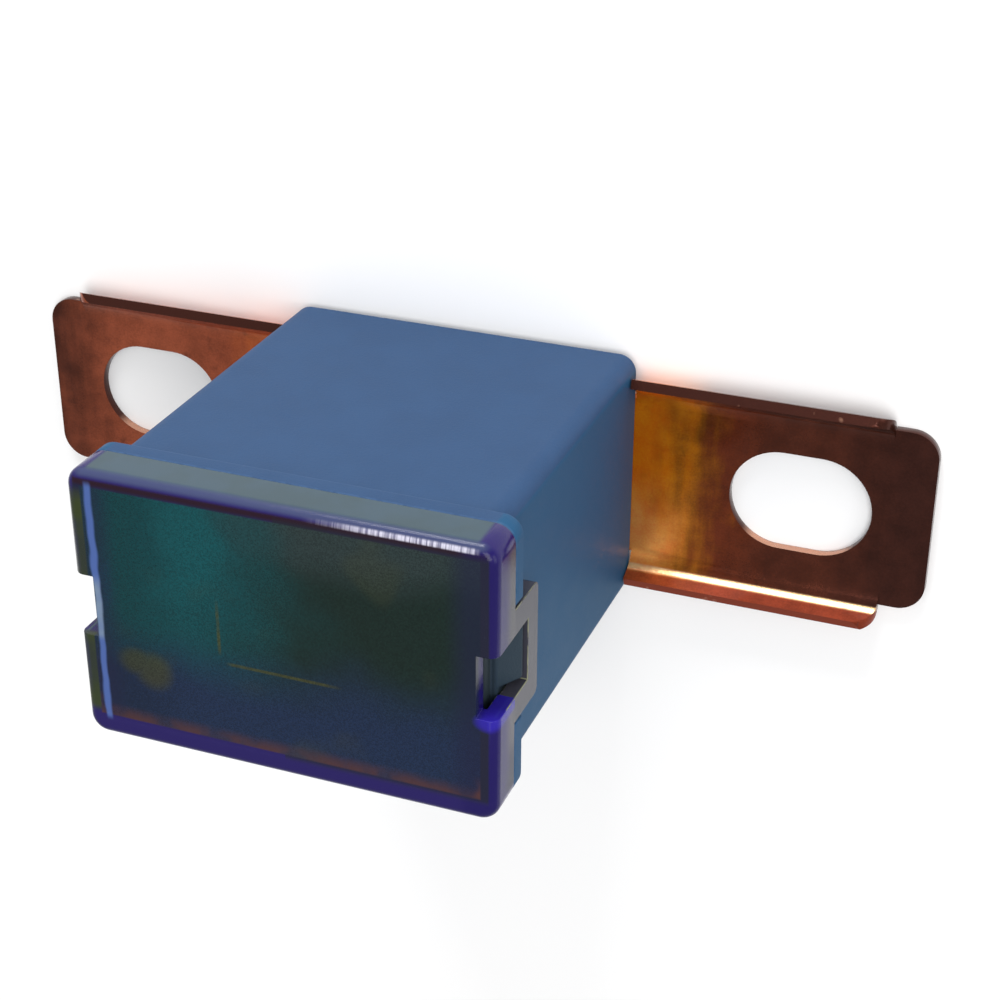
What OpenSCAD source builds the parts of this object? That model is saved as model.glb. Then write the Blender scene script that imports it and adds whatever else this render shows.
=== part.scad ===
// Box-type bolt-in fuse link.
// +Z points out of the window, +X runs from lug to lug, z = 0 is the plane of the bolt seats.
// The origin lies midway between the two studs on that plane.

/* [Bolt lugs] */
// Thickness of the terminal sheet
sheet_t = 0.6; // [0.5:0.05:0.8]
// Distance between the two stud slots
stud_pitch = 44; // [43:0.5:52]
// Width of a stud slot
slot_w = 6.5; // [5.3:0.1:7]
// Length of a stud slot from end to end
slot_l = 8.8; // [7.6:0.4:10]
// Metal between the end of a slot and the tip of the lug
tip_margin = 3.6; // [3:0.2:6]
// Width of the lug over the tops of its two folded flanges
channel_w = 14.2; // [13.8:0.1:15]
// Height of the flanges above the bolt seat
flange_h = 2.15; // [1.95:0.05:3]
// Outward lean of the flanges, in degrees
flange_lean = 22; // [12:1:30]
// Inside radius of the two flange bends
flange_r = 1.5; // [1:0.1:1.7]
// Inside radius of the bend between a lug and its leg
bend_r = 0.4; // [0.3:0.05:0.6]
// Radius of the flange corner near the tip
flange_end_r = 1.5; // [0.5:0.1:1.8]
// Length of the flat tab beyond the flanges
tab_l = 2.7; // [2.6:0.1:5]
// Width of the flat tab
tab_w = 11.8; // [10:0.1:12]
// Radius of the corners of the tab
tab_r = 1.7; // [0.5:0.1:2.4]

/* [Terminal legs] */
// Width of the strip that runs under and up into the housing
leg_w = 10.6; // [8:0.2:11]
// Height of the top of a leg above the bolt seat
leg_top = 17; // [15:0.5:19]
// Gap between a leg and the side wall of the housing
leg_gap = 0.4; // [0.2:0.1:1]

/* [Housing] */
// Length of the housing body along the lugs
body_l = 22.8; // [21:0.2:24]
// Width of the housing body
body_w = 16.2; // [15:0.2:20]
// Depth of the housing body from the lugs to the collar
body_h = 22.4; // [21:0.2:30]
// Side wall of the housing
wall = 1.5; // [1.2:0.1:1.6]
// Thickness of the wall that the legs pass through
back_wall = 2; // [1.5:0.1:4]
// Radius of the upright edges of the body
body_r = 1.1; // [0.3:0.1:1.4]
// Thickness of the collar that the cover sits on
collar_h = 1.2; // [0.8:0.1:2]
// Reach of the collar past the body at the latch ends
collar_x = 1.05; // [1.05:0.05:2]
// Reach of the collar past the body at the long sides
collar_y = 0.3; // [0.3:0.1:1.5]
// Height of the lip that locates the cover
lip_h = 0.8; // [0.4:0.1:1.2]

/* [Window cover] */
// Height of the cover above the collar
cover_h = 2.6; // [2.4:0.1:5]
// Radius of the four upright corners of the cover and the collar
corner_r = 1.1; // [0.9:0.1:1.8]
// Radius of the rounded edge all round the window face
edge_r = 0.6; // [0.4:0.1:0.9]
// Thickness of the window pane
pane_t = 1.1; // [0.8:0.1:1.2]
// Side wall of the cover
cover_wall = 1; // [0.9:0.05:1.1]

/* [Latches] */
// Width of a latch loop
loop_w = 7; // [6:0.2:9]
// Reach of a latch loop behind the cover
loop_l = 3.45; // [3:0.05:5]
// Thickness of a latch loop
loop_t = 0.9; // [0.6:0.1:1.1]
// Width of the arms of a loop
loop_arm = 1.6; // [1:0.05:2]
// Depth of the bar that hooks behind the catch
loop_bar = 1.5; // [0.8:0.1:2]
// Radius of the outer corners of a loop
loop_r = 0.45; // [0.2:0.05:0.8]
// Depth of the notch that opens the window face above a loop
notch_d = 1.2; // [1.1:0.1:1.6]
// Height of the catch above the body
catch_h = 0.85; // [0.6:0.05:1]
// Thickness of the catch at its crest
catch_crest = 0.35; // [0.2:0.05:0.6]

/* [Fuse element] */
// Thickness of the element strip
strip_t = 0.3; // [0.2:0.05:0.4]
// Height of the bridge above the bolt seat
bridge_z = 21.5; // [20.5:0.1:23]
// Inside radius of the bends of the strip
strip_r = 0.7; // [0.4:0.1:1.2]
// Length of strip that is welded to each leg
weld_l = 5; // [3:0.5:8]
// Width of the two melting necks
neck_w = 1.6; // [1:0.1:2.6]
// Length of each neck
neck_l = 1.3; // [0.8:0.1:2]
// Length of the pad that carries the pellet
pad_l = 3.8; // [3:0.1:5]
// Width of the pad between its claws
pad_w = 3.4; // [3:0.1:5]
// Length of the two claws that grip the pellet
claw_l = 2.8; // [1:0.1:3]
// Height of the tin pellet
pellet_h = 1.3; // [0.8:0.1:1.6]

/* [Clearances] */
// Gap round the lip and round the latch loops
cover_gap = 0.15; // [0.05:0.05:0.3]
// Gap at each side of a catch, inside its loop
catch_gap = 0.3; // [0.1:0.05:0.5]
// Gap round each leg in the wall it passes through
leg_slot_gap = 0.1; // [0.05:0.05:0.2]
// Gap between the flanges and the side of the housing
flange_gap = 0.1; // [0.05:0.05:0.3]

/* [Hidden] */
$fn = 64;
join = 0.2;

bend_out = sheet_t + bend_r;
flange_out = sheet_t + flange_r;
tip_x = stud_pitch / 2 + slot_l / 2 + tip_margin;
flange_x0 = body_l / 2 + flange_gap;
flange_x1 = tip_x - tab_l;
flange_run = (flange_h - flange_out + flange_r * sin(flange_lean)) / cos(flange_lean);
flat_half = channel_w / 2 - flange_out * cos(flange_lean) - flange_run * sin(flange_lean);

cavity_l = body_l - 2 * wall;
cavity_w = body_w - 2 * wall;
leg_x = cavity_l / 2 - leg_gap - sheet_t;

body_z0 = sheet_t;
collar_z0 = body_z0 + body_h;
cover_z0 = collar_z0 + collar_h;
front_z = cover_z0 + cover_h;
cover_l = body_l + 2 * collar_x;
cover_w = body_w + 2 * collar_y;
pocket_l = cover_l - 2 * cover_wall;
pocket_w = cover_w - 2 * cover_wall;
lip_l = min(body_l - wall / 2, pocket_l - 2 * cover_gap);
lip_w = min(body_w, pocket_w - 2 * cover_gap);

loop_x1 = cover_l / 2;
loop_x0 = loop_x1 - loop_t;
loop_z0 = cover_z0 - loop_l;
hole_w = loop_w - 2 * loop_arm;
hole_z0 = loop_z0 + loop_bar;

strip_out = strip_t + strip_r;
claw_t = strip_t;

// Upright block with rounded edges, standing on z = 0
module rounded_block(l, w, h, r) {
    linear_extrude(h) {
        square([l - 2 * r, w], center = true);
        square([l, w - 2 * r], center = true);
        for (x = [-1, 1], y = [-1, 1])
            translate([x * (l / 2 - r), y * (w / 2 - r)]) circle(r);
    }
}

// Extrudes an outline drawn in Y and Z along X, from x0 to x1
module along_x(x0, x1) {
    translate([x0, 0, 0]) rotate([90, 0, 90]) linear_extrude(x1 - x0) children();
}

// Extrudes an outline drawn in X and Z across Y, over a width w
module across_y(w) {
    rotate([90, 0, 0]) linear_extrude(w, center = true) children();
}

// One bent flange in section: the bend and the leaning wall
module flange_section() {
    k = 2 * flange_out;
    translate([flat_half, flange_out]) {
        intersection() {
            difference() {
                circle(flange_out);
                circle(flange_r);
            }
            polygon([[0, 0], [0, -k], [k, -k], [k, -k * tan(flange_lean)]]);
        }
        rotate(-flange_lean) translate([flange_r, 0]) square([sheet_t, flange_run]);
    }
}

// Side view of a flange, with its large corner near the tip
module flange_side() {
    run = flange_x1 - flange_x0;
    translate([flange_x0, 0]) {
        square([run - flange_end_r, flange_h]);
        square([run, flange_h - flange_end_r]);
        translate([run - flange_end_r, flange_h - flange_end_r]) circle(flange_end_r);
    }
}

// Flat metal of a lug, seen from the window side
module lug_plan() {
    translate([flange_x0, -flat_half - join / 2])
        square([flange_x1 - flange_x0 + join, 2 * flat_half + join]);
    translate([flange_x1, -tab_w / 2]) square([tab_l - tab_r, tab_w]);
    translate([flange_x1, tab_r - tab_w / 2]) square([tab_l, tab_w - 2 * tab_r]);
    for (y = [-1, 1])
        translate([tip_x - tab_r, y * (tab_w / 2 - tab_r)]) circle(tab_r);
}

// Slot for one stud, long way along X
module stud_slot() {
    straight = slot_l - slot_w;
    translate([stud_pitch / 2, 0, -join]) {
        for (x = [-1, 1])
            translate([x * straight / 2, 0, 0]) cylinder(d = slot_w, h = sheet_t + 2 * join);
        translate([-straight / 2, -slot_w / 2, 0])
            cube([straight, slot_w, sheet_t + 2 * join]);
    }
}

// Strip that runs under the housing and turns up into it
module leg() {
    turn_x = leg_x + bend_out;
    across_y(leg_w) {
        translate([turn_x, 0]) square([flange_x0 + join - turn_x, sheet_t]);
        intersection() {
            translate([turn_x, bend_out]) difference() {
                circle(bend_out);
                circle(bend_r);
            }
            translate([leg_x, 0]) square(bend_out);
        }
        translate([leg_x, bend_out]) square([sheet_t, leg_top - bend_out]);
    }
}

// One terminal: channelled lug, stud slot and upright leg in a single folded sheet
module terminal() {
    difference() {
        union() {
            linear_extrude(sheet_t) lug_plan();
            intersection() {
                along_x(flange_x0, flange_x1) for (side = [0, 1])
                    mirror([side, 0]) flange_section();
                across_y(2 * channel_w) flange_side();
            }
            leg();
        }
        stud_slot();
    }
}

module terminal_right() {
    color([0.62, 0.36, 0.22]) terminal();
}

module terminal_left() {
    color([0.62, 0.36, 0.22]) mirror([1, 0, 0]) terminal();
}

// Wedge on the side of the body that a latch loop hooks over
module catch_wedge() {
    back = hole_z0 + cover_gap;
    across_y(hole_w - 2 * catch_gap)
        polygon([
            [body_l / 2 - join, back],
            [body_l / 2 + catch_h, back],
            [body_l / 2 + catch_h, back + catch_crest],
            [body_l / 2, cover_z0],
            [body_l / 2 - join, cover_z0]
        ]);
}

// Opening in the back wall for one leg, with room for its bend
module leg_opening() {
    w = leg_w + 2 * leg_slot_gap;
    x0 = leg_x - leg_slot_gap;
    translate([x0, -w / 2, 0])
        cube([sheet_t + 2 * leg_slot_gap, w, body_z0 + back_wall + join]);
    translate([x0, -w / 2, 0])
        cube([bend_out + 2 * leg_slot_gap, w, bend_out + leg_slot_gap]);
}

// Gap in the collar that a latch loop passes through
module collar_gap() {
    w = loop_w + 2 * cover_gap;
    translate([body_l / 2, -w / 2, collar_z0 - join])
        cube([collar_x + join, w, collar_h + 2 * join]);
}

// Moulded box, open towards the window
module housing() {
    color([0.31, 0.42, 0.59]) difference() {
        union() {
            translate([0, 0, body_z0])
                rounded_block(body_l, body_w, body_h + collar_h, body_r);
            difference() {
                translate([0, 0, collar_z0])
                    rounded_block(cover_l, cover_w, collar_h, corner_r);
                for (side = [0, 1])
                    mirror([side, 0, 0]) collar_gap();
            }
            translate([0, 0, cover_z0 - join])
                rounded_block(lip_l, lip_w, lip_h + join, wall / 2);
            for (side = [0, 1])
                mirror([side, 0, 0]) catch_wedge();
        }
        translate([0, 0, body_z0 + back_wall])
            rounded_block(cavity_l, cavity_w, front_z, wall / 3);
        for (side = [0, 1])
            mirror([side, 0, 0]) leg_opening();
    }
}

// Outline of a rounded front edge, with its flat part inboard of it and a foot below it
module edge_section(flat) {
    translate([0, -join]) square([flat + edge_r, join]);
    square([flat, edge_r]);
    intersection() {
        translate([flat, 0]) circle(edge_r);
        square([flat + edge_r, edge_r]);
    }
}

// Rounded front of the cover: a straight run along each side and a turned piece at each corner
module cover_front() {
    inset = corner_r - edge_r;
    run_x = cover_l - 2 * corner_r;
    run_y = cover_w - 2 * corner_r;
    translate([0, 0, front_z - edge_r]) {
        across_y(run_y) for (side = [0, 1]) mirror([side, 0])
            edge_section(cover_l / 2 - edge_r);
        along_x(-run_x / 2, run_x / 2) for (side = [0, 1]) mirror([side, 0])
            edge_section(cover_w / 2 - edge_r);
        for (x = [-1, 1], y = [-1, 1])
            translate([x * run_x / 2, y * run_y / 2, 0])
                rotate_extrude() edge_section(inset);
    }
}

// Solid block of the cover, rounded at its corners and round the window face
module cover_block() {
    translate([0, 0, cover_z0]) rounded_block(cover_l, cover_w, cover_h - edge_r, corner_r);
    cover_front();
}

// Closed outline of one latch loop, seen from its end
module loop_outline() {
    translate([-loop_w / 2, loop_z0 + loop_r])
        square([loop_w, loop_l + join - loop_r]);
    translate([loop_r - loop_w / 2, loop_z0])
        square([loop_w - 2 * loop_r, loop_l + join]);
    for (y = [-1, 1])
        translate([y * (loop_w / 2 - loop_r), loop_z0 + loop_r]) circle(loop_r);
}

// Space taken out of the cover at one latch: the hole in the loop and the notch above it
module latch_cut() {
    translate([loop_x0 - join, -hole_w / 2, hole_z0])
        cube([loop_t + 2 * join, hole_w, cover_z0 - hole_z0 + join]);
    translate([cover_l / 2 - notch_d, -hole_w / 2, cover_z0 - join])
        cube([notch_d + join, hole_w, cover_h + 2 * join]);
}

// Clear cap with a flat pane, a notch at each end and two latch loops
module window_cover() {
    color([0.25, 0.24, 0.62, 0.55]) difference() {
        union() {
            cover_block();
            for (side = [0, 1])
                mirror([side, 0, 0]) along_x(loop_x0, loop_x1) loop_outline();
        }
        translate([0, 0, cover_z0 - join])
            rounded_block(pocket_l, pocket_w, cover_h - pane_t + join, wall / 2);
        for (side = [0, 1])
            mirror([side, 0, 0]) latch_cut();
    }
}

// Strip of the element in side view: two tails, two bends and the bridge
module strip_side() {
    turn_x = leg_x - strip_out;
    turn_z = bridge_z - strip_out;
    tail_z0 = leg_top - weld_l;
    translate([-turn_x, bridge_z - strip_t]) square([2 * turn_x, strip_t]);
    for (side = [0, 1]) mirror([side, 0]) {
        intersection() {
            translate([turn_x, turn_z]) difference() {
                circle(strip_out);
                circle(strip_r);
            }
            translate([turn_x, turn_z]) square(strip_out);
        }
        translate([leg_x - strip_t, tail_z0]) square([strip_t, turn_z - tail_z0]);
    }
}

// Element seen from the window: full width at the bends, two necks and a pad between them
module strip_plan() {
    neck_x0 = pad_l / 2;
    neck_x1 = neck_x0 + neck_l;
    full_x = leg_x - strip_out;
    for (side = [0, 1]) mirror([side, 0]) polygon([
        [0, -pad_w / 2 - claw_t],
        [neck_x0, -pad_w / 2 - claw_t],
        [neck_x0, -neck_w / 2],
        [neck_x1, -neck_w / 2],
        [full_x, -leg_w / 2],
        [leg_x, -leg_w / 2],
        [leg_x, leg_w / 2],
        [full_x, leg_w / 2],
        [neck_x1, neck_w / 2],
        [neck_x0, neck_w / 2],
        [neck_x0, pad_w / 2 + claw_t],
        [0, pad_w / 2 + claw_t]
    ]);
}

// Thin strip that bridges the two legs and melts on overload
module fuse_element() {
    color([0.72, 0.56, 0.32]) {
        intersection() {
            across_y(leg_w) strip_side();
            linear_extrude(bridge_z) strip_plan();
        }
        for (y = [-1, 1])
            translate([-claw_l / 2, y * (pad_w + claw_t) / 2 - claw_t / 2, bridge_z - strip_t])
                cube([claw_l, claw_t, strip_t + pellet_h]);
    }
}

// Low-melting pellet gripped on the pad of the element
module tin_pellet() {
    color([0.75, 0.76, 0.78])
        translate([0, 0, bridge_z]) rounded_block(pad_l, pad_w, pellet_h, pellet_h / 2);
}

housing();
window_cover();
terminal_left();
terminal_right();
fuse_element();
tin_pellet();
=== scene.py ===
"""Looks of a box-type bolt-in fuse link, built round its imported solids.

The part stands on its two lugs, with the window facing up. Every piece keeps the frame of
the solids: metres, +X from lug to lug, +Z out of the window.
"""
import logging
import math
from dataclasses import dataclass, field
from enum import Enum

import bmesh
import bpy
from mathutils import Matrix, Vector


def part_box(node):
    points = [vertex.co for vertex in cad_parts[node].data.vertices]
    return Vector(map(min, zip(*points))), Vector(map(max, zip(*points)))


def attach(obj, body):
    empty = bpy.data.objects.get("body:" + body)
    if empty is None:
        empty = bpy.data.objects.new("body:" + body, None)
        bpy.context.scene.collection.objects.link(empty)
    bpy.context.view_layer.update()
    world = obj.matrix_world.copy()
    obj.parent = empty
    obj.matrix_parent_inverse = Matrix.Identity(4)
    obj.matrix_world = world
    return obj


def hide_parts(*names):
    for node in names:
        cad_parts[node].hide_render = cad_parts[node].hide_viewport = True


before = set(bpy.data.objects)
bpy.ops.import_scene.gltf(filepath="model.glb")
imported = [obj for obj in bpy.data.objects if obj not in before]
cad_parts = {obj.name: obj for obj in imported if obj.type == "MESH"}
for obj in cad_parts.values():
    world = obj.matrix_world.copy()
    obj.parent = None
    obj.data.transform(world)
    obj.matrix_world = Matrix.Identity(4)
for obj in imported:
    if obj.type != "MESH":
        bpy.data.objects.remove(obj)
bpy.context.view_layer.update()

MM = 0.001
CAP_HEIGHT = 2.6 * MM
SHEET_INSET = 1.5 * MM
ROOT_BODY = "root"
EDGE_LAYER = "worn_edge"
CUT_LAYER = "cut_face"
LOG = logging.getLogger("fuse_link")

Colour = tuple[float, float, float]
Span = tuple[float, float]
Socket = bpy.types.NodeSocket


def linear(colour: Colour) -> tuple[float, float, float, float]:
    """Turn a colour as the eye reads it into the shader's linear light.

    Args:
        colour: red, green and blue, each from 0 to 1.

    Returns:
        The linear colour with an alpha of 1.
    """
    def one(c: float) -> float:
        return c / 12.92 if c <= 0.04045 else ((c + 0.055) / 1.055) ** 2.4
    return (one(colour[0]), one(colour[1]), one(colour[2]), 1.0)


class Side(Enum):
    """The two ends of the part along X."""

    LEFT = -1
    RIGHT = 1


class Shading:
    """Builds one node tree, a node and a link at a time."""

    def __init__(self, tree: bpy.types.NodeTree) -> None:
        """Start from an empty tree."""
        self.tree = tree
        tree.nodes.clear()

    def node(self, kind: str, settings: dict | None = None, **inputs: object) -> bpy.types.Node:
        """Add a node.

        Args:
            kind: Blender's name for the node type.
            settings: attributes of the node itself.
            inputs: values or sockets for its inputs, with spaces written as underscores.

        Returns:
            The new node.
        """
        made = self.tree.nodes.new(kind)
        for name, value in (settings or {}).items():
            setattr(made, name, value)
        for name, value in inputs.items():
            self.feed(made.inputs[name.replace("_", " ")], value)
        return made

    def feed(self, socket: Socket, value: object) -> None:
        """Link a socket to the input, or set the input to a plain value.

        Args:
            socket: the input.
            value: the socket or the plain value.
        """
        if isinstance(value, Socket):
            self.tree.links.new(value, socket)
        else:
            socket.default_value = value

    def math(self, operation: str, *values: object, clamp: bool = False) -> Socket:
        """Add a Math node.

        Args:
            operation: the Math node's operation.
            values: sockets or numbers, in order.
            clamp: keep the result from 0 to 1.

        Returns:
            The node's output.
        """
        made = self.node("ShaderNodeMath", {"operation": operation, "use_clamp": clamp})
        for socket, value in zip(made.inputs, values):
            self.feed(socket, value)
        return made.outputs[0]

    def mix(self, factor: object, first: object, second: object,
            blend: str = "MIX") -> Socket:
        """Blend two colours.

        Args:
            factor: share of the second colour.
            first: colour or socket at 0.
            second: colour or socket at 1.
            blend: the Mix node's blend type.

        Returns:
            The blended colour.
        """
        made = self.node("ShaderNodeMix", {"data_type": "RGBA", "blend_type": blend})
        for socket, value in zip((made.inputs[0], made.inputs[6], made.inputs[7]),
                                 (factor, first, second)):
            self.feed(socket, value)
        return made.outputs[2]

    def ramp(self, value: object, low: float, high: float) -> Socket:
        """Add a smooth step.

        Args:
            value: socket to read.
            low: value that gives 0.
            high: value that gives 1.

        Returns:
            A number from 0 to 1.
        """
        made = self.node("ShaderNodeMapRange", {"interpolation_type": "SMOOTHSTEP"},
                         Value=value, From_Min=low, From_Max=high)
        return made.outputs["Result"]

    def step(self, value: Socket, span: Span, base: float = 0.0) -> Socket:
        """Add a smooth step between two lengths.

        Args:
            value: length to read, in metres.
            span: lengths that give 0 and 1, in millimetres from the base.
            base: where the span is measured from, in metres.

        Returns:
            A number from 0 to 1.
        """
        low, high = (base + part * MM for part in span)
        return self.ramp(value, low, high)

    def times(self, first: object, *others: object) -> Socket:
        """Multiply sockets and numbers, from left to right.

        Args:
            first: socket or number.
            others: sockets or numbers.

        Returns:
            The product.
        """
        product = first
        for other in others:
            product = self.math("MULTIPLY", product, other)
        return product

    def lift(self, value: Socket, scale: float, base: float) -> Socket:
        """Scale a value and add a base to it."""
        return self.math("MULTIPLY_ADD", value, scale, base)

    def sway(self, value: Socket, reach: float) -> Socket:
        """Turn a noise from 0 to 1 into one that swings about 0."""
        return self.times(self.math("SUBTRACT", value, 0.5), reach)

    def tint(self, colour: object, target: Colour, *masks: object) -> Socket:
        """Turn a colour towards another one.

        Args:
            colour: colour or socket to start from.
            target: the other colour, as the eye reads it.
            masks: shares of the other colour, multiplied together.

        Returns:
            The colour.
        """
        return self.mix(self.times(*masks), colour, linear(target))

    def axes(self, place: Socket) -> tuple[Socket, Socket, Socket]:
        """Split coordinates into X, Y and Z."""
        split = self.node("ShaderNodeSeparateXYZ", Vector=place)
        return split.outputs["X"], split.outputs["Y"], split.outputs["Z"]

    def place(self) -> Socket:
        """Give the object coordinates."""
        return self.node("ShaderNodeTexCoord").outputs["Object"]

    def noise(self, scale: object, where: object, detail: float = 3.0, rough: float = 0.5,
              stretch: tuple[float, float, float] | None = None) -> Socket:
        """Add a noise value.

        Args:
            scale: cells in a metre.
            where: the coordinates.
            detail: octaves.
            rough: strength of the finer octaves.
            stretch: factors on the coordinates, for streaks.

        Returns:
            The noise, from 0 to 1.
        """
        if stretch:
            where = self.node("ShaderNodeMapping", Vector=where, Scale=stretch).outputs[0]
        return self.node("ShaderNodeTexNoise", Vector=where, Scale=scale, Detail=detail,
                         Roughness=rough).outputs[0]


def group(name: str, inputs: dict[str, tuple[str, object]],
          outputs: dict[str, str]) -> tuple[bpy.types.NodeTree, Shading, bpy.types.Node]:
    """Start a shader node group with named sockets.

    Args:
        name: name of the group.
        inputs: socket type and default of each input.
        outputs: socket type of each output.

    Returns:
        The group, its builder, and its input node.
    """
    tree = bpy.data.node_groups.new(name, "ShaderNodeTree")
    for key, (kind, value) in inputs.items():
        tree.interface.new_socket(key, in_out="INPUT", socket_type=kind).default_value = value
    for key, kind in outputs.items():
        tree.interface.new_socket(key, in_out="OUTPUT", socket_type=kind)
    build = Shading(tree)
    return tree, build, build.node("NodeGroupInput")


def grain_group() -> bpy.types.NodeTree:
    """Build the surface grain that plastic and metal share.

    Returns:
        A group with a tone from 0 to 1 and a height.
    """
    number = "NodeSocketFloat"
    fine_share, broad_share = 0.45, 0.55
    tree, build, given = group(
        "surface_grain",
        {"Fine": (number, 9000.0), "Broad": (number, 500.0), "Streak": (number, 1.0)},
        {"Tone": number, "Height": number})
    place = build.place()
    stretch = build.node("ShaderNodeCombineXYZ", X=given.outputs["Streak"], Y=1.0, Z=1.0)
    drawn = build.node("ShaderNodeVectorMath", {"operation": "MULTIPLY"})
    build.feed(drawn.inputs[0], place)
    build.feed(drawn.inputs[1], stretch.outputs[0])
    fine = build.noise(given.outputs["Fine"], drawn.outputs[0], detail=4.0, rough=0.65)
    broad = build.noise(given.outputs["Broad"], drawn.outputs[0], detail=3.0, rough=0.55)
    tone = build.math("MULTIPLY_ADD", fine, fine_share, build.times(broad, broad_share))
    out = build.node("NodeGroupOutput")
    build.feed(out.inputs["Tone"], tone)
    build.feed(out.inputs["Height"], fine)
    return tree


def wear_group() -> bpy.types.NodeTree:
    """Build the broken mask of worn edges.

    Returns:
        A group with a mask from 0 to 1.
    """
    number = "NodeSocketFloat"
    tree, build, given = group(
        "edge_wear", {"Amount": (number, 0.6), "Break": (number, 2500.0)}, {"Mask": number})
    edge = build.node("ShaderNodeAttribute", {"attribute_name": EDGE_LAYER}).outputs["Fac"]
    gaps = build.noise(given.outputs["Break"], build.place())
    broken = build.ramp(gaps, low=0.3, high=0.6)
    mask = build.math("MULTIPLY", build.math("MULTIPLY", edge, broken), given.outputs["Amount"],
                      clamp=True)
    out = build.node("NodeGroupOutput")
    build.feed(out.inputs["Mask"], mask)
    return tree


@dataclass
class Effects:
    """The node groups that several finishes use."""

    grain: bpy.types.NodeTree = field(default_factory=grain_group)
    wear: bpy.types.NodeTree = field(default_factory=wear_group)

    def place(self, build: Shading, tree: bpy.types.NodeTree, **inputs: float) -> bpy.types.Node:
        """Put a group into a material.

        Args:
            build: the material's builder.
            tree: the group.
            inputs: its values.

        Returns:
            The group node.
        """
        return build.node("ShaderNodeGroup", {"node_tree": tree}, **inputs)


def new_material(name: str) -> tuple[bpy.types.Material, Shading]:
    """Make an empty material with a node tree.

    Args:
        name: the material's name.

    Returns:
        The material and its builder.
    """
    made = bpy.data.materials.new(name)
    made.use_nodes = True
    return made, Shading(made.node_tree)


def finish_with(build: Shading, shader: bpy.types.Node) -> None:
    """Send a shader to the material's output."""
    out = build.node("ShaderNodeOutputMaterial")
    build.feed(out.inputs["Surface"], shader.outputs[0])


@dataclass(frozen=True)
class Relief:
    """Fine bumps of a surface, with their depth in metres."""

    strength: float
    depth: float


@dataclass(frozen=True)
class Pattern:
    """Noise of a finish: its cells in a metre, its octaves and the values for 0 and 1."""

    scale: float
    detail: float
    low: float = 0.0
    high: float = 1.0
    rough: float = 0.5
    stretch: tuple[float, float, float] | None = None

    def value(self, build: Shading, place: Socket) -> Socket:
        """Give the plain noise."""
        return build.noise(self.scale, place, self.detail, self.rough, self.stretch)

    def mask(self, build: Shading, place: Socket) -> Socket:
        """Give the noise as a mask, 0 up to its low value and 1 from its high one."""
        return build.ramp(self.value(build, place), self.low, self.high)


def surface(build: Shading, colour: Socket, rough: object, height: Socket | None = None,
            relief: Relief | None = None, **inputs: float) -> None:
    """Give the material its one shader.

    Args:
        build: the material's builder.
        colour: its colour.
        rough: its roughness, a socket or a number.
        height: height of its bumps.
        relief: strength and depth of its bumps, where it has any.
        inputs: constants for the shader's other inputs.
    """
    shader = build.node("ShaderNodeBsdfPrincipled", Base_Color=colour, Roughness=rough,
                        **inputs)
    if relief:
        bump = build.node("ShaderNodeBump", Strength=relief.strength, Distance=relief.depth,
                          Height=height)
        build.feed(shader.inputs["Normal"], bump.outputs[0])
    finish_with(build, shader)


@dataclass(frozen=True)
class SatinPlastic:
    """Slate-blue moulding with a fine grain; painted light tints its ends greener and painted
    shade darkens it under the cap and by the latches.
    """

    body: Colour = (0.17, 0.28, 0.42)
    shade: Colour = (0.15, 0.26, 0.398)
    end: Colour = (0.10, 0.295, 0.43)
    edge: Colour = (0.25, 0.37, 0.52)
    under_cap_shade: Colour = (0.145, 0.185, 0.21)
    end_light_cover: float = 0.8
    latch_shade_cover: float = 0.9
    latch_width: Span = (3.1, 2.5)
    latch_rise: Span = (-4.2, -3.4)
    latch_inset: float = 0.5 * MM
    tone: tuple[float, float] = (0.34, 0.66)
    roughness: float = 0.45
    relief: Relief = Relief(0.35, 0.05 * MM)

    def make(self, effects: Effects, seat: float, wall: float) -> bpy.types.Material:
        """Build the material.

        Args:
            effects: the shared node groups.
            seat: height of the joint under the cap, above which the plastic is darkened with
                painted shade.
            wall: distance of each end wall from the middle.

        Returns:
            The material.
        """
        made, build = new_material("satin_plastic")
        x, y, z = build.axes(build.place())
        along = build.math("ABSOLUTE", x)
        grain = effects.place(build, effects.grain, Fine=7000.0, Broad=420.0)
        wear = effects.place(build, effects.wear, Amount=0.45, Break=3000.0)
        tone = build.ramp(grain.outputs["Tone"], *self.tone)
        colour = build.mix(tone, linear(self.shade), linear(self.body))
        # Painted light: the end faces are tinted greener, for the light that falls on them.
        colour = build.tint(colour, self.end, build.math("GREATER_THAN", along, wall),
                            self.end_light_cover)
        colour = build.tint(colour, self.edge, wear.outputs["Mask"])
        # Painted shade: darken the plastic under the cap and by the latch catches, where the cap
        # and its loops shade it.
        latch = build.times(build.step(build.math("ABSOLUTE", y), self.latch_width),
                            build.step(z, self.latch_rise, seat),
                            build.math("GREATER_THAN", along, wall - self.latch_inset),
                            self.latch_shade_cover)
        under_cap = build.math("GREATER_THAN", z, seat)
        colour = build.tint(colour, self.under_cap_shade, build.math("MAXIMUM", under_cap, latch))
        rough = build.lift(grain.outputs["Tone"], scale=0.2, base=self.roughness)
        surface(build, colour, rough, grain.outputs["Height"], self.relief,
                Specular_IOR_Level=0.15)
        return made


@dataclass(frozen=True)
class Oval:
    """Soft oval on the face of the cap, in millimetres."""

    at: tuple[float, float]
    reach: tuple[float, float]
    core: float = 0.05

    def mask(self, build: Shading, x: Socket, y: Socket) -> Socket:
        """Mask the oval.

        Args:
            build: the material's builder.
            x: distance along the lugs.
            y: distance across them.

        Returns:
            A mask from 0 to 1.
        """
        parts = []
        for value, middle, half in zip((x, y), self.at, self.reach):
            part = build.math("DIVIDE", build.math("SUBTRACT", value, middle * MM), half * MM)
            parts.append(build.times(part, part))
        return build.ramp(build.math("ADD", *parts), 1.0, self.core)


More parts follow.
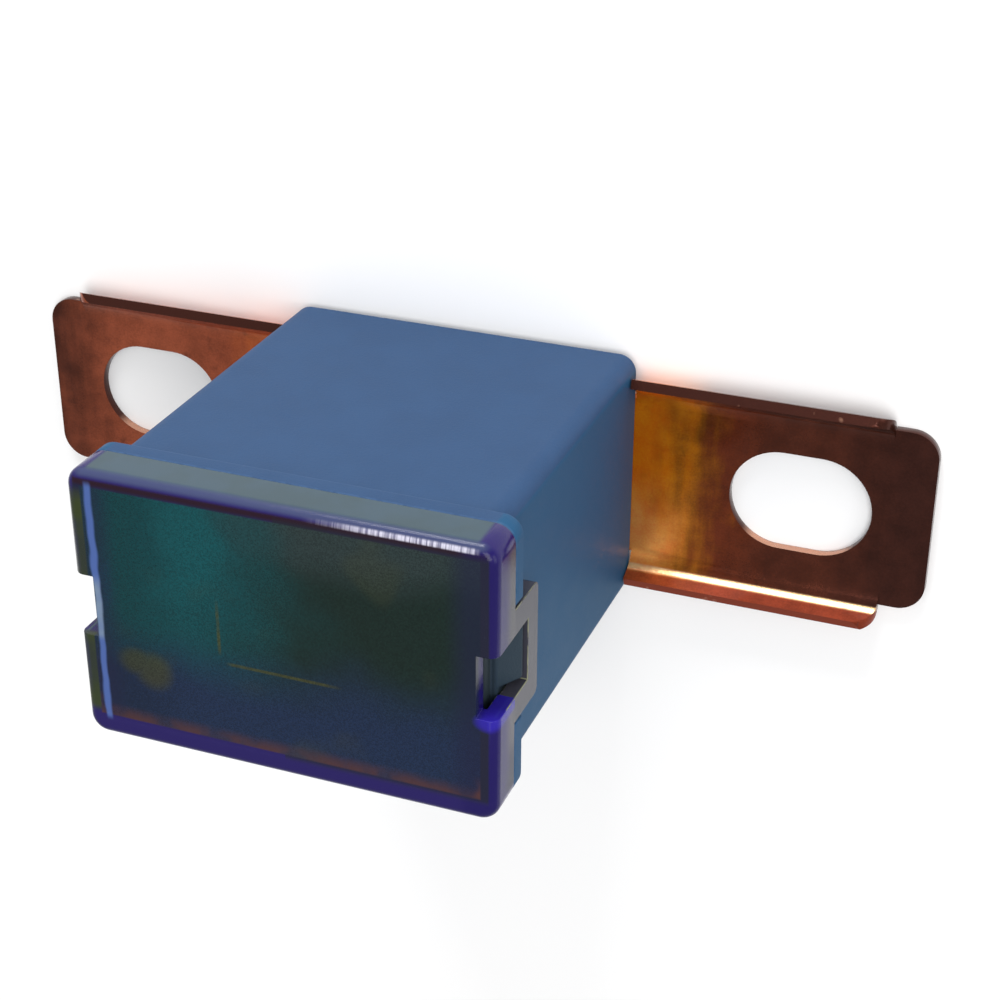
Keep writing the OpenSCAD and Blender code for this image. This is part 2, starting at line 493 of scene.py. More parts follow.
@dataclass(frozen=True)
class Thread:
    """Thin straight line on the window, in millimetres."""

    at: float
    start: float
    stop: float
    width: Span = (0.14, 0.04)
    fade_in: float = 0.5
    fade_out: float = 1.5

    def mask(self, build: Shading, across: Socket, along: Socket) -> Socket:
        """Mask the line.

        Args:
            build: the material's builder.
            across: coordinate that the line keeps.
            along: coordinate that runs along the line.

        Returns:
            A mask from 0 to 1.
        """
        gap = build.math("ABSOLUTE", build.math("SUBTRACT", across, self.at * MM))
        return build.times(build.step(gap, self.width),
                           build.step(along, (self.start, self.start + self.fade_in)),
                           build.step(along, (self.stop, self.stop - self.fade_out)))


@dataclass(frozen=True)
class CapPoint:
    """Where a point of the cap lies, as sockets in metres, with a slow change of hue."""

    place: Socket
    x: Socket
    y: Socket
    z: Socket
    from_end: Socket
    from_side: Socket
    hue: Socket
    highest: Vector

    @classmethod
    def read(cls, build: Shading, highest: Vector, hue: Pattern) -> "CapPoint":
        """Read the coordinates.

        Args:
            build: the material's builder.
            highest: high corner of the cap.
            hue: pattern of the slow change of hue.

        Returns:
            The point.
        """
        place = build.place()
        x, y, z = build.axes(place)
        from_end = build.math("SUBTRACT", highest.x, build.math("ABSOLUTE", x))
        from_side = build.math("SUBTRACT", highest.y, build.math("ABSOLUTE", y))
        return cls(place, x, y, z, from_end, from_side, hue.mask(build, place), highest)


@dataclass(frozen=True)
class WindowPane:
    """Smoky window: teal at one end, olive clouds, and navy along the low side."""

    teal: Colour = (0.05, 0.29, 0.31)
    aqua: Colour = (0.06, 0.37, 0.39)
    grey: Colour = (0.18, 0.235, 0.235)
    olive: Colour = (0.09, 0.165, 0.145)
    navy: Colour = (0.12, 0.185, 0.30)
    umber: Colour = (0.30, 0.30, 0.13)
    drift: float = 9 * MM
    grey_up: Span = (3.5, 7)
    teal_across: Span = (3.5, -5)
    navy_down: Span = (0.5, -4.5)
    dim_end: Span = (-9.5, -5)
    glow: Oval = Oval((-5.2, 5.0), (3.4, 4.2))
    patch_left: Oval = Oval((-8.9, -3.0), (1.5, 1.1))
    patch_right: Oval = Oval((-7.9, -3.4), (1.5, 1.5))
    upright: Thread = Thread(-3.65, -1.5, 2.3)
    level: Thread = Thread(-1.85, -3.4, 3.9)
    glow_cover: float = 0.35
    patch_cover: float = 0.6
    spot_cover: float = 0.15
    thread_cover: float = 0.7
    clouds: Pattern = Pattern(170.0, 2.0)
    spots: Pattern = Pattern(260.0, 1.0, 0.58, 0.76)
    breaks: Pattern = Pattern(900.0, 2.0, 0.25, 0.55)
    speckle: Pattern = Pattern(12000.0, 2.0, 0.3, 0.7, rough=0.6)

    def colour(self, build: Shading, at: CapPoint) -> Socket:
        """Colour the window.

        Args:
            build: the material's builder.
            at: the point of the cap.

        Returns:
            The colour.
        """
        drift = build.sway(self.clouds.value(build, at.place), self.drift)
        across = build.math("ADD", at.x, drift)
        up = build.math("ADD", at.y, build.times(drift, 0.5))
        colour = build.mix(build.step(up, self.grey_up), linear(self.olive), linear(self.grey))
        colour = build.tint(colour, self.teal, build.step(across, self.teal_across))
        colour = build.tint(colour, self.navy, build.step(up, self.navy_down))
        colour = build.tint(colour, self.aqua, self.glow.mask(build, across, up),
                            self.glow_cover)
        patch = build.math("MAXIMUM", self.patch_left.mask(build, at.x, at.y),
                           self.patch_right.mask(build, at.x, at.y))
        colour = build.tint(colour, self.umber, patch, self.patch_cover)
        colour = build.tint(colour, self.umber, self.spots.mask(build, at.place),
                            self.spot_cover)
        threads = build.math("MAXIMUM", self.upright.mask(build, at.x, at.y),
                             self.level.mask(build, at.y, at.x))
        colour = build.tint(colour, self.umber, threads, self.breaks.mask(build, at.place),
                            self.thread_cover)
        speckle = self.speckle.mask(build, at.place)
        shade = build.times(build.lift(speckle, scale=0.5, base=0.7),
                            build.lift(build.step(at.x, self.dim_end), scale=0.25, base=0.75))
        return build.node("ShaderNodeVectorMath", {"operation": "SCALE"}, Vector=colour,
                          Scale=shade).outputs[0]


@dataclass(frozen=True)
class CapRim:
    """Frame of the window: dark bands over the lip, a rusty seam, a violet ring, and painted
    highlights: a pale band and teeth on the high edge and a bright strip by the left end.

    Spans on from_end and from_side start at the outside of the cap. Spans named high start
    at its high side.
    """

    indigo: Colour = (0.12, 0.13, 0.255)
    violet: Colour = (0.165, 0.125, 0.40)
    lilac: Colour = (0.29, 0.325, 0.46)
    plum: Colour = (0.17, 0.08, 0.15)
    deep: Colour = (0.11, 0.075, 0.36)
    slate: Colour = (0.14, 0.15, 0.185)
    moss: Colour = (0.23, 0.27, 0.14)
    brick_red: Colour = (0.36, 0.22, 0.20)
    glint: Colour = (0.35, 0.46, 0.74)
    glare: Colour = (0.58, 0.66, 0.74)
    teeth: Colour = (0.90, 0.89, 0.96)
    low_side: Span = (0, -1)
    low_inset: float = 0.5 * MM
    lip: Span = (3.1, 1.5)
    lip_cover: float = 0.6
    seam_in: Span = (1.9, 1.0)
    seam_low: Span = (-4, -5)
    corner_in: Span = (1.45, 1.0)
    corner_low: Span = (-5.4, -6.4)
    ring_in: Span = (1.0, 0.88)
    plum_high: Span = (-1.0, -0.7)
    violet_low: Span = (-6, -7.2)
    violet_in: Span = (0.6, 0.4)
    deep_end: Span = (10, 11)
    deep_cover: float = 0.6
    flat_end: Span = (0.4, 0.55)
    flat_side: Span = (0.5, 1.0)
    flat_cover: float = 0.8
    lilac_high: Span = (-0.5, -0.2)
    lilac_end: Span = (0.3, 1.0)
    lilac_cover: float = 0.85
    moss_left: Span = (-11.3, -11.5)
    moss_side: Span = (0.9, 1.5)
    teeth_inner: Span = (-0.62, -0.5)
    teeth_outer: Span = (-0.22, -0.36)
    teeth_along: Span = (1.5, 6.5)
    teeth_end: Span = (0.9, 1.5)
    strip_inner: Span = (-10.75, -10.95)
    strip_outer: Span = (-11.35, -11.15)
    strip_side: Span = (0.5, 1.0)
    strip_cover: float = 0.85
    notch: Span = (2.2, 1.5)
    breaks: Pattern = Pattern(600.0, 2.0, 0.3, 0.6)
    tooth: Pattern = Pattern(9000.0, 1.0, 0.3, 0.6, stretch=(1.0, 0.04, 0.04))
    wave: Pattern = Pattern(500.0, 1.0)

    def bands(self, build: Shading, at: CapPoint, pane: Socket, side: Socket) -> Socket:
        """Darken the window over the lip and redden its low seam.

        Args:
            build: the material's builder.
            at: the point of the cap.
            pane: colour of the window.
            side: distance inward from the ring's long sides.

        Returns:
            The colour.
        """
        broken = self.breaks.mask(build, at.place)
        colour = build.tint(pane, self.indigo, build.step(at.from_end, self.lip),
                            self.lip_cover)
        colour = build.tint(colour, self.brick_red, build.step(side, self.seam_in),
                            build.step(at.y, self.seam_low),
                            build.lift(broken, scale=0.5, base=0.2))
        return build.tint(colour, self.brick_red, build.step(at.from_end, self.corner_in),
                          build.step(at.y, self.corner_low), broken)

    def ring(self, build: Shading, at: CapPoint, side: Socket, inward: Socket) -> Socket:
        """Colour the ring round the window.

        Args:
            build: the material's builder.
            at: the point of the cap.
            side: distance inward from the ring's long sides.
            inward: distance inward from the nearest side.

        Returns:
            The colour.
        """
        base = build.mix(build.times(at.hue, 0.4), linear(self.indigo), linear(self.violet))
        ring = build.tint(base, self.plum, build.step(at.y, self.plum_high, at.highest.y))
        ring = build.tint(ring, self.violet, build.step(at.y, self.violet_low))
        ring = build.tint(ring, self.violet, build.step(inward, self.violet_in))
        ring = build.tint(ring, self.deep, build.step(at.x, self.deep_end), self.deep_cover)
        ring = build.tint(ring, self.slate, build.step(at.from_end, self.flat_end),
                          build.math("GREATER_THAN", at.x, 0.0),
                          build.step(side, self.flat_side), self.flat_cover)
        # Painted highlight: a lilac band along the high side, where the rounded edge catches the
        # light.
        ring = build.tint(ring, self.lilac, build.step(at.y, self.lilac_high, at.highest.y),
                          build.step(at.from_end, self.lilac_end), self.lilac_cover)
        ring = build.tint(ring, self.moss, build.step(side, self.moss_side),
                          build.step(at.x, self.moss_left),
                          build.lift(at.hue, scale=0.4, base=0.6))
        # Painted highlight: pale teeth along the high edge.
        return build.tint(ring, self.teeth, self.teeth_highlight_mask(build, at))

    def teeth_highlight_mask(self, build: Shading, at: CapPoint) -> Socket:
        """Mask the painted highlight along the rounded high edge, broken into fine teeth.

        Args:
            build: the material's builder.
            at: the point of the cap.

        Returns:
            A mask from 0 to 1.
        """
        tooth = self.tooth.mask(build, at.place)
        return build.times(build.step(at.y, self.teeth_inner, at.highest.y),
                           build.step(at.y, self.teeth_outer, at.highest.y),
                           build.step(at.x, self.teeth_along),
                           build.step(at.from_end, self.teeth_end),
                           build.lift(tooth, scale=0.7, base=0.25))

    def colour(self, build: Shading, at: CapPoint, pane: Socket) -> Socket:
        """Frame the window.

        Args:
            build: the material's builder.
            at: the point of the cap.
            pane: colour of the window.

        Returns:
            The colour.
        """
        inset = build.times(build.step(at.y, self.low_side), self.low_inset)
        side = build.math("SUBTRACT", at.from_side, inset)
        inward = build.math("MINIMUM", at.from_end, side)
        colour = build.mix(build.step(inward, self.ring_in),
                           self.bands(build, at, pane, side),
                           self.ring(build, at, side, inward))
        # Painted highlight: a bright strip inside the left end, paler where the notch opens.
        wave = build.lift(self.wave.value(build, at.place), scale=0.4 * MM, base=-0.2 * MM)
        bent = build.math("ADD", at.x, wave)
        strip = build.times(build.step(bent, self.strip_inner),
                            build.step(bent, self.strip_outer),
                            build.step(side, self.strip_side), self.strip_cover)
        open_notch = build.times(build.step(build.math("ABSOLUTE", at.y), self.notch),
                                 build.lift(at.hue, scale=0.5, base=0.45))
        bright = build.mix(open_notch, linear(self.glint), linear(self.glare))
        return build.mix(strip, colour, bright)


@dataclass(frozen=True)
class CapWalls:
    """Upright walls of the cap, its notches and its latch loops."""

    side: Colour = (0.275, 0.355, 0.405)
    end: Colour = (0.355, 0.35, 0.385)
    loop: Colour = (0.285, 0.285, 0.325)
    indigo: Colour = (0.12, 0.13, 0.255)
    violet: Colour = (0.165, 0.125, 0.40)
    deep: Colour = (0.11, 0.075, 0.36)
    moss: Colour = (0.23, 0.27, 0.14)
    end_skin: float = 0.25 * MM
    end_low: Span = (-3.9, -5.5)
    low_cover: float = 0.85
    shoulder: Span = (-2.2, -1.0)
    moss_cover: float = 0.15
    corner_end: Span = (1.3, 1.0)
    corner_side: Span = (1.4, 0.7)
    notch_in: Span = (0.3, 0.45)

    def colour(self, build: Shading, at: CapPoint, seat: float) -> Socket:
        """Colour the walls.

        Args:
            build: the material's builder.
            at: the point of the cap.
            seat: height of the joint between the cap and the collar.

        Returns:
            The colour.
        """
        at_end = build.math("LESS_THAN", at.from_end, self.end_skin)
        inward = build.math("MINIMUM", at.from_end, at.from_side)
        walls = build.mix(at_end, linear(self.side), linear(self.end))
        walls = build.tint(walls, self.indigo, at_end, build.step(at.y, self.end_low),
                           self.low_cover)
        walls = build.tint(walls, self.violet, at_end,
                           build.step(at.z, self.shoulder, at.highest.z))
        walls = build.tint(walls, self.moss, at.hue, self.moss_cover)
        walls = build.tint(walls, self.violet, build.step(at.from_end, self.corner_end),
                           build.step(at.from_side, self.corner_side))
        walls = build.tint(walls, self.deep, build.step(inward, self.notch_in))
        return build.tint(walls, self.loop, build.math("LESS_THAN", at.z, seat))


@dataclass(frozen=True)
class ClearPlastic:
    """Glossy tinted plastic of the cap: its window, its rim and its walls."""

    pane: WindowPane = WindowPane()
    rim: CapRim = CapRim()
    walls: CapWalls = CapWalls()
    blue: Colour = (0.20, 0.15, 0.68)
    edge: Colour = (0.56, 0.57, 0.46)
    face_to_wall: Span = (-0.22, -0.62)
    worn_below: Span = (-1.2, -1.6)
    notch_light: Oval = Oval((12.0, -2.05), (1.05, 0.7))
    light_cover: float = 0.9
    hue: Pattern = Pattern(420.0, 2.0, 0.35, 0.65)
    roughness: float = 0.08
    relief: Relief = Relief(0.2, 0.06 * MM)

    def make(self, effects: Effects, seat: float, highest: Vector) -> bpy.types.Material:
        """Build the material.

        Args:
            effects: the shared node groups.
            seat: height of the joint between the cap and the collar.
            highest: high corner of the cap.

        Returns:
            The material.
        """
        made, build = new_material("clear_plastic")
        at = CapPoint.read(build, highest, self.hue)
        face = self.rim.colour(build, at, self.pane.colour(build, at))
        colour = build.mix(build.step(at.z, self.face_to_wall, highest.z), face,
                           self.walls.colour(build, at, seat))
        # Painted light: a bright blue patch on the low edge of the right notch, where light
        # falls into it.
        colour = build.tint(colour, self.blue, self.notch_light.mask(build, at.x, at.y),
                            build.math("GREATER_THAN", at.z, seat), self.light_cover)
        wear = effects.place(build, effects.wear, Amount=0.95, Break=1500.0)
        colour = build.tint(colour, self.edge, wear.outputs["Mask"],
                            build.step(at.z, self.worn_below, highest.z))
        grain = effects.place(build, effects.grain, Fine=9000.0, Broad=700.0)
        rough = build.lift(grain.outputs["Tone"], scale=0.1, base=self.roughness)
        surface(build, colour, rough, grain.outputs["Tone"], self.relief,
                Transmission_Weight=0.3, IOR=1.45, Specular_IOR_Level=0.1)
        return made


@dataclass(frozen=True)
class TarnishedCopper:
    """Rolled copper alloy sheet, golden by the housing and dark at the tips, partly tarnish and
    partly painted reflection, with painted light on the low flange, its bend and the slot's low
    wall.

    Spans named run are shares of the way from the housing to the tip.
    """

    amber: Colour = (0.93, 0.57, 0.08)
    sand: Colour = (0.95, 0.68, 0.35)
    brown: Colour = (0.50, 0.225, 0.12)
    maroon: Colour = (0.385, 0.19, 0.13)
    dark: Colour = (0.28, 0.145, 0.115)
    bend_highlight: Colour = (0.92, 0.80, 0.60)
    rose: Colour = (0.80, 0.42, 0.29)
    brick_red: Colour = (0.60, 0.25, 0.15)
    cut_dull: Colour = (0.28, 0.145, 0.115)
    bare_and_lit_cut: Colour = (0.78, 0.58, 0.48)
    edge: Colour = (0.20, 0.11, 0.09)
    grain_dark: Colour = (0.35, 0.35, 0.35)
    grain_light: Colour = (0.70, 0.70, 0.70)
    drift: float = 5 * MM
    streaks: float = 3 * MM
    sand_low: Span = (1, -4)
    sand_run: Span = (0.3, 0.0)
    brown_run: Span = (0.08, 0.34)
    maroon_run: Span = (0.25, 0.56)
    tip_run: Span = (0.62, 1.02)
    right_lead: float = 0.04
    aged_run: Span = (0.0, 0.4)
    rose_left: Span = (0, -11)
    rose_cover: float = 0.76
    lean: Span = (-6.1, -6.3)
    lean_cover: float = 0.9
    lean_roughness: float = 0.3
    band_inner: Span = (5.88, 5.98)
    band_outer: Span = (6.26, 6.14)
    band_low: Span = (0, -1)
    above_sheet: float = 0.8 * MM
    grain_cover: float = 0.6
    slot_low: Span = (-2.2, -2.9)
    slot_end: float = 3 * MM
    sheet_top: float = 0.9 * MM
    scuff_cover: float = 0.5
    flange_low: Span = (-5, -6)
    flange_cover: float = 0.75
    blotch: Pattern = Pattern(260.0, 3.0, rough=0.6)
    rolled: Pattern = Pattern(1300.0, 2.0, stretch=(1.0, 0.12, 1.0))
    stain: Pattern = Pattern(700.0, 3.0, 0.58, 0.8, rough=0.6)
    highlight_gaps: Pattern = Pattern(1500.0, 2.0, 0.2, 0.45)
    scuffs: Pattern = Pattern(700.0, 2.0, 0.68, 0.74)
    tone: tuple[float, float] = (0.3, 0.7)
    roughness: float = 0.11
    relief: Relief = Relief(0.2, 0.03 * MM)

    def sheet(self, build: Shading, place: Socket, x: Socket, y: Socket, near: float,
              far: float) -> Socket:
        """Colour the flat sheet from the housing to the tip: partly tarnish and partly painted
        reflection, with a painted highlight on the low side by the housing.

        Args:
            build: the material's builder.
            place: object coordinates.
            x: distance along the lugs.
            y: distance across them.
            near: distance from the middle where the sheet leaves the housing.
            far: distance of the tip.

        Returns:
            The colour.
        """
        def share(value: Socket, span: Span) -> Socket:
            return build.ramp(value, *(near + part * (far - near) for part in span))

        rolled = self.rolled.value(build, place)
        drift = build.sway(self.blotch.value(build, place), self.drift)
        streak = build.sway(rolled, self.streaks)
        run = build.math("ADD", build.math("ADD", build.math("ABSOLUTE", x), drift), streak)
        # Painted highlight: pale sand on the low side of the sheet by the housing.
        pale = build.times(build.step(y, self.sand_low), rolled, share(run, self.sand_run))
        colour = build.mix(build.math("MULTIPLY", pale, 2.0, clamp=True), linear(self.amber),
                           linear(self.sand))
        colour = build.tint(colour, self.brown, share(run, self.brown_run))
        colour = build.tint(colour, self.maroon, share(run, self.maroon_run))
        tip = share(build.math("MULTIPLY_ADD", x, self.right_lead, run), self.tip_run)
        colour = build.tint(colour, self.dark, tip)
        colour = build.tint(colour, self.rose, build.step(x, self.rose_left),
                            build.lift(tip, -self.rose_cover, self.rose_cover))
        return build.tint(colour, self.dark, self.stain.mask(build, place),
                          build.lift(share(run, self.aged_run), scale=0.3, base=0.12))

    def bend(self, build: Shading, sheet: Socket, place: Socket, lean: Socket, y: Socket,
             z: Socket) -> Socket:
        """Tint the low flange red as painted light, and paint a highlight band along the inside
        of its bend.

        Args:
            build: the material's builder.
            sheet: colour of the flat sheet.
            place: object coordinates.
            lean: mask of the flange on the low side.
            y: distance across the lug.
            z: height above the bolt seat.

        Returns:
            The colour.
        """
        out = build.math("ABSOLUTE", y)
        # Painted light: the low flange alone is tinted red, for the light that falls on it.
        colour = build.tint(sheet, self.brick_red, lean, self.lean_cover)
        # Painted highlight: a pale band along the inside of the low bend, broken into gaps.
        broken = self.highlight_gaps.mask(build, place)
        return build.tint(colour, self.bend_highlight, build.step(out, self.band_inner),
                          build.step(out, self.band_outer),
                          build.math("GREATER_THAN", z, self.above_sheet),
                          build.step(y, self.band_low), build.lift(broken, scale=0.4, base=0.5))

    def cut_faces(self, build: Shading, place: Socket, along: Socket, y: Socket, z: Socket,
                  far: float) -> Socket:
        """Colour the faces that the press cut: bare where scuffed, a painted highlight on the
        low wall of the slot, and painted light tinting the low flange's cut faces red.

        Args:
            build: the material's builder.
            place: object coordinates.
            along: distance from the middle.
            y: distance across the lug.
            z: height above the bolt seat.
            far: distance of the tip.

        Returns:
            The colour.
        """
        # Painted highlight: the low wall of the slot is pale; the scuffs elsewhere are real
        # wear.
        slot_low = build.times(build.step(y, self.slot_low),
                               build.math("LESS_THAN", along, far - self.slot_end),
                               build.math("LESS_THAN", z, self.sheet_top))
        scuffed = build.times(self.scuffs.mask(build, place), self.scuff_cover)
        # Painted light: the cut faces of the low flange are tinted red.
        dull = build.tint(linear(self.cut_dull), self.brick_red, build.step(y, self.flange_low),
                          self.flange_cover)
        return build.tint(dull, self.bare_and_lit_cut, build.math("MAXIMUM", slot_low, scuffed))

    def make(self, effects: Effects, near: float, far: float) -> bpy.types.Material:
        """Build the material.

        Args:
            effects: the shared node groups.
            near: distance from the middle where the sheet leaves the housing.
            far: distance of the tip.

        Returns:
            The material.
        """
        made, build = new_material("tarnished_copper")
        place = build.place()
        x, y, z = build.axes(place)
        grain = effects.place(build, effects.grain, Fine=8000.0, Broad=600.0)
        wear = effects.place(build, effects.wear, Amount=0.55, Break=1800.0)
        lean = build.step(y, self.lean)
        colour = self.bend(build, self.sheet(build, place, x, y, near, far), place, lean, y, z)
        tone = build.ramp(grain.outputs["Tone"], *self.tone)
        flecks = build.mix(tone, linear(self.grain_dark), linear(self.grain_light))
        colour = build.mix(self.grain_cover, colour, flecks, "OVERLAY")
        cut = build.node("ShaderNodeAttribute", {"attribute_name": CUT_LAYER}).outputs["Fac"]
        along = build.math("ABSOLUTE", x)
        colour = build.mix(cut, colour, self.cut_faces(build, place, along, y, z, far))
        colour = build.tint(colour, self.edge, wear.outputs["Mask"])
        rough = build.lift(grain.outputs["Tone"], scale=0.18, base=self.roughness)
        rough = build.math("MULTIPLY_ADD", lean, self.lean_roughness, rough)
        surface(build, colour, rough, grain.outputs["Height"], self.relief, Metallic=0.7,
                Specular_IOR_Level=0.1, Coat_Weight=0.15, Coat_Roughness=0.1)
        return made


@dataclass(frozen=True)
class BrightStrip:
    """Bright copper alloy of the melting element."""

    bright: Colour = (0.80, 0.62, 0.36)
    dull: Colour = (0.58, 0.42, 0.24)
    tone: tuple[float, float] = (0.3, 0.7)

    def make(self, effects: Effects) -> bpy.types.Material:
        """Build the material.

        Args:
            effects: the shared node groups.

        Returns:
            The material.
        """
        made, build = new_material("bright_strip")
        grain = effects.place(build, effects.grain, Fine=15000.0, Broad=600.0, Streak=0.3)
        tone = build.ramp(grain.outputs["Tone"], *self.tone)
        colour = build.mix(tone, linear(self.dull), linear(self.bright))
        rough = build.lift(grain.outputs["Tone"], scale=0.2, base=0.2)
        surface(build, colour, rough, Metallic=1.0)
        return made


@dataclass(frozen=True)
class CastTin:
    """Dull cast tin of the pellet."""

    bright: Colour = (0.80, 0.81, 0.83)
    dull: Colour = (0.55, 0.56, 0.60)
    tone: tuple[float, float] = (0.3, 0.7)
    roughness: float = 0.45
    relief: Relief = Relief(0.4, 0.1 * MM)

    def make(self, effects: Effects) -> bpy.types.Material:
        """Build the material.

        Args:
            effects: the shared node groups.

        Returns:
            The material.
        """
        made, build = new_material("cast_tin")
        grain = effects.place(build, effects.grain, Fine=6000.0, Broad=900.0)
        tone = build.ramp(grain.outputs["Tone"], *self.tone)
        colour = build.mix(tone, linear(self.dull), linear(self.bright))
        surface(build, colour, self.roughness, grain.outputs["Height"], self.relief,
                Metallic=1.0)
        return made


@dataclass
class Refined:
    """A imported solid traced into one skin, with its sharp edges rounded off."""

    node: str
    slot: str
    edge: float = 0.08 * MM
    steps: int = 2
    sharp: float = math.radians(32)
    flat: float = math.radians(0.6)
    join: float = 0.0005 * MM

    def skin(self) -> bmesh.types.BMesh:
        """Trace the solid and round its edges.

        Returns:
            The skin, with its rounded edges marked for wear.
        """
        bm = bmesh.new()
        bm.from_mesh(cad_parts[self.node].data)
        bmesh.ops.remove_doubles(bm, verts=bm.verts, dist=self.join)
        bmesh.ops.dissolve_limit(bm, angle_limit=self.flat, verts=bm.verts, edges=bm.edges,
                                 delimit=set())
        self.mark(bm)
        hard = [e for e in bm.edges if e.is_manifold and e.calc_face_angle(0.0) > self.sharp]
        worn = bm.loops.layers.float.new(EDGE_LAYER)
        made = bmesh.ops.bevel(bm, geom=hard, offset=self.edge, offset_type="OFFSET",
                               segments=self.steps, profile=0.5, affect="EDGES", material=-1,
                               clamp_overlap=True, loop_slide=True)
        for face in made["faces"]:
            for loop in face.loops:
                loop[worn] = 1.0
        bmesh.ops.recalc_face_normals(bm, faces=bm.faces)
        return bm

    def mark(self, bm: bmesh.types.BMesh) -> None:
        """Mark faces for the finish, where a piece needs it."""

    def build(self, finish: bpy.types.Material) -> bpy.types.Object:
        """Make the piece and set it in the solid's place.

        Args:
            finish: its material.

        Returns:
            The piece.
        """
        bm = self.skin()
        mesh = bpy.data.meshes.new(f"{self.node}_skin")
        bm.to_mesh(mesh)
        bm.free()
        mesh.shade_smooth()
        mesh.materials.append(finish)
        piece = bpy.data.objects.new(f"{self.node}_skin", mesh)
        bpy.context.scene.collection.objects.link(piece)
        normals = piece.modifiers.new("even_shading", "WEIGHTED_NORMAL")
        normals.keep_sharp = True
        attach(piece, ROOT_BODY)
        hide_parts(self.node)
        LOG.info("%s: %d faces", piece.name, len(mesh.polygons))
        return piece


@dataclass
class Housing(Refined):
    """Moulded box with its collar, lip and catches."""

    node: str = "housing"
    slot: str = "housing_plastic"
    edge: float = 0.14 * MM
    wall: float = 11.35 * MM
    above_joint: float = 0.05 * MM
    finish: SatinPlastic = SatinPlastic()

    def dress(self, effects: Effects) -> bpy.types.Object:
        """Build the housing in its plastic."""
        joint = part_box("window_cover")[1].z - CAP_HEIGHT
        return self.build(self.finish.make(effects, joint + self.above_joint, self.wall))


@dataclass
class WindowCover(Refined):
    """Clear cap with its pane, notches and latch loops."""

    node: str = "window_cover"
    slot: str = "cover_plastic"
    edge: float = 0.08 * MM
    finish: ClearPlastic = ClearPlastic()

    def dress(self, effects: Effects) -> bpy.types.Object:
        """Build the cap in its clear plastic."""
        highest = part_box(self.node)[1]
        return self.build(self.finish.make(effects, highest.z - CAP_HEIGHT, highest))


@dataclass
class Terminal(Refined):
    """One lug with its flanges and leg, in one folded sheet."""

    side: Side = Side.RIGHT
    node: str = ""
    slot: str = "terminal_metal"
    edge: float = 0.06 * MM
    sheet: float = 0.6 * MM
    sheet_slack: float = 0.01 * MM
    flange_top: float = 1.9 * MM
    flange_slack: float = 0.05 * MM
    flange_limit: float = 3 * MM
    facing: float = 0.1

    def __post_init__(self) -> None:
        """Name the solid that this side stands for."""
        self.node = f"terminal_{self.side.name.lower()}"

    def mark(self, bm: bmesh.types.BMesh) -> None:
        """Mark the faces that the press cut: slot walls, tab ends and tops of the flanges.

        Args:
            bm: the traced sheet.
        """
        cut = bm.loops.layers.float.new(CUT_LAYER)
        for face in bm.faces:
            heights = [v.co.z for v in face.verts]
            low, high = min(heights), max(heights)
            upright = abs(face.normal.z) < self.facing
            sheared = upright and high < self.sheet + self.sheet_slack
            top = high < self.flange_limit and low > self.flange_top - self.flange_slack
            if sheared or (top and abs(face.normal.x) < self.facing):
                for loop in face.loops:
                    loop[cut] = 1.0

    def dress(self, copper: bpy.types.Material) -> bpy.types.Object:
        """Build the terminal in its sheet metal."""
        return self.build(copper)


@dataclass
class FuseElement(Refined):
    """Thin strip with two necks and a pad."""

    node: str = "fuse_element"
    slot: str = "element_metal"
    edge: float = 0.04 * MM

    def dress(self, effects: Effects) -> bpy.types.Object:
        """Build the strip in its bright metal."""
        return self.build(BrightStrip().make(effects))


@dataclass
class TinPellet(Refined):
    """Cast pellet on the pad."""

    node: str = "tin_pellet"
    slot: str = "pellet_metal"
    edge: float = 0.12 * MM

    def dress(self, effects: Effects) -> bpy.types.Object:
        """Build the pellet in its cast tin."""
        return self.build(CastTin().make(effects))


@dataclass(frozen=True)
class Lamp:
    """Soft square lamp that faces the part: its place, its side and its watts."""

    name: str
    at: tuple[float, float, float]
    size: float
    power: float

    def hang(self) -> None:
        """Put the lamp into the scene."""
        data = bpy.data.lights.new(self.name, "AREA")
        data.shape, data.size, data.energy = "SQUARE", self.size, self.power
        lamp = bpy.data.objects.new(self.name, data)
        lamp.location = self.at
        lamp.rotation_euler = (-Vector(self.at)).to_track_quat("-Z", "Y").to_euler()
        bpy.context.scene.collection.objects.link(lamp)


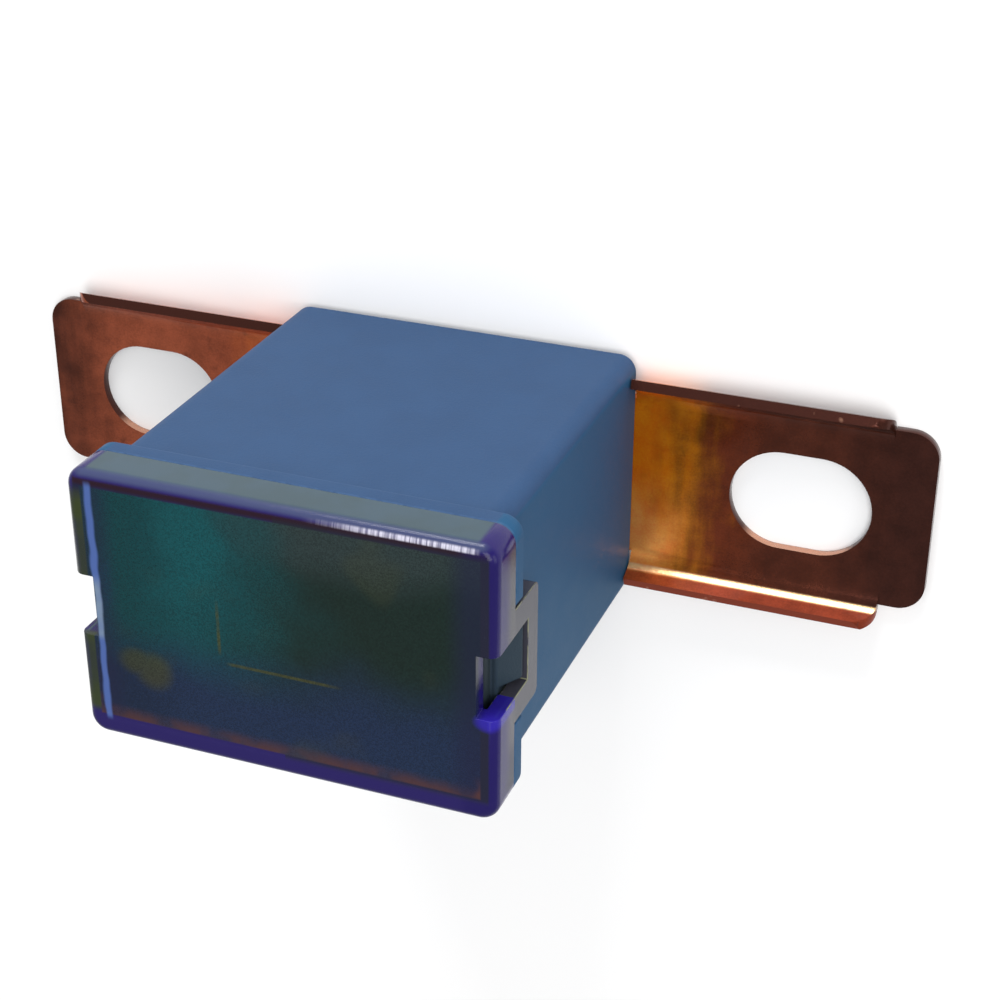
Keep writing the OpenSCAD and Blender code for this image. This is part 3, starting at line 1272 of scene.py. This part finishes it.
@dataclass
class Studio:
    """Pale floor, soft light and the camera."""

    floor_size: float = 3.0
    floor_gap: float = 0.02 * MM
    floor_grey: float = 0.93
    floor_roughness: float = 0.9
    sky: float = 0.55
    eye: Vector = field(default_factory=lambda: Vector((0.043382, 0.056211, 0.107774)))
    turn: tuple[float, float, float] = (-2.6239, -0.12465, 0.48449)
    lens: float = 72.17
    sensor: float = 36.0
    clip: tuple[float, float] = (0.005, 10.0)
    lamps: tuple[Lamp, ...] = (Lamp("key", (0.24, 0.12, 0.68), 0.45, 3.0),
                               Lamp("back_strip", (-0.08, 0.57, 0.12), 0.26, 2.9),
                               Lamp("fill", (0.54, 0.06, 0.24), 0.30, 0.6))

    def floor(self) -> None:
        """Lay the floor just under the lugs."""
        bm = bmesh.new()
        bmesh.ops.create_grid(bm, x_segments=1, y_segments=1, size=self.floor_size / 2)
        bmesh.ops.translate(bm, verts=bm.verts, vec=(0, 0, -self.floor_gap))
        mesh = bpy.data.meshes.new("floor")
        bm.to_mesh(mesh)
        bm.free()
        made, build = new_material("pale_floor")
        grey = (self.floor_grey,) * 3 + (1.0,)
        surface(build, grey, self.floor_roughness)
        mesh.materials.append(made)
        plane = bpy.data.objects.new("floor", mesh)
        bpy.context.scene.collection.objects.link(plane)

    def world(self) -> None:
        """Fill the room with even pale light."""
        world = bpy.data.worlds.new("room")
        world.use_nodes = True
        build = Shading(world.node_tree)
        sky = build.node("ShaderNodeBackground", Color=(1, 1, 1, 1), Strength=self.sky)
        out = build.node("ShaderNodeOutputWorld")
        build.feed(out.inputs["Surface"], sky.outputs[0])
        bpy.context.scene.world = world
        bpy.context.scene.view_settings.view_transform = "Standard"

    def camera(self) -> None:
        """Set up the camera."""
        data = bpy.data.cameras.new("camera")
        data.lens, data.sensor_width = self.lens, self.sensor
        data.clip_start, data.clip_end = self.clip
        angle = Vector(self.turn)
        seen = Matrix.Rotation(angle.length, 3, angle.normalized())
        flip = Matrix(((1, 0, 0), (0, -1, 0), (0, 0, -1)))
        camera = bpy.data.objects.new("camera", data)
        camera.matrix_world = Matrix.Translation(self.eye) @ (seen.transposed() @ flip).to_4x4()
        bpy.context.scene.collection.objects.link(camera)
        bpy.context.scene.camera = camera

    def build(self) -> None:
        """Build the whole studio."""
        self.floor()
        self.world()
        self.camera()
        for lamp in self.lamps:
            lamp.hang()


def main() -> None:
    """Build every piece in order and report it."""
    logging.basicConfig(level=logging.INFO, format="%(name)s: %(message)s")
    Studio().build()
    effects = Effects()
    Housing().dress(effects)
    WindowCover().dress(effects)
    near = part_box("housing")[1].x - SHEET_INSET
    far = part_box("terminal_right")[1].x
    copper = TarnishedCopper().make(effects, near, far)
    for side in Side:
        Terminal(side=side).dress(copper)
    FuseElement().dress(effects)
    TinPellet().dress(effects)


if __name__ == "__main__":
    main()
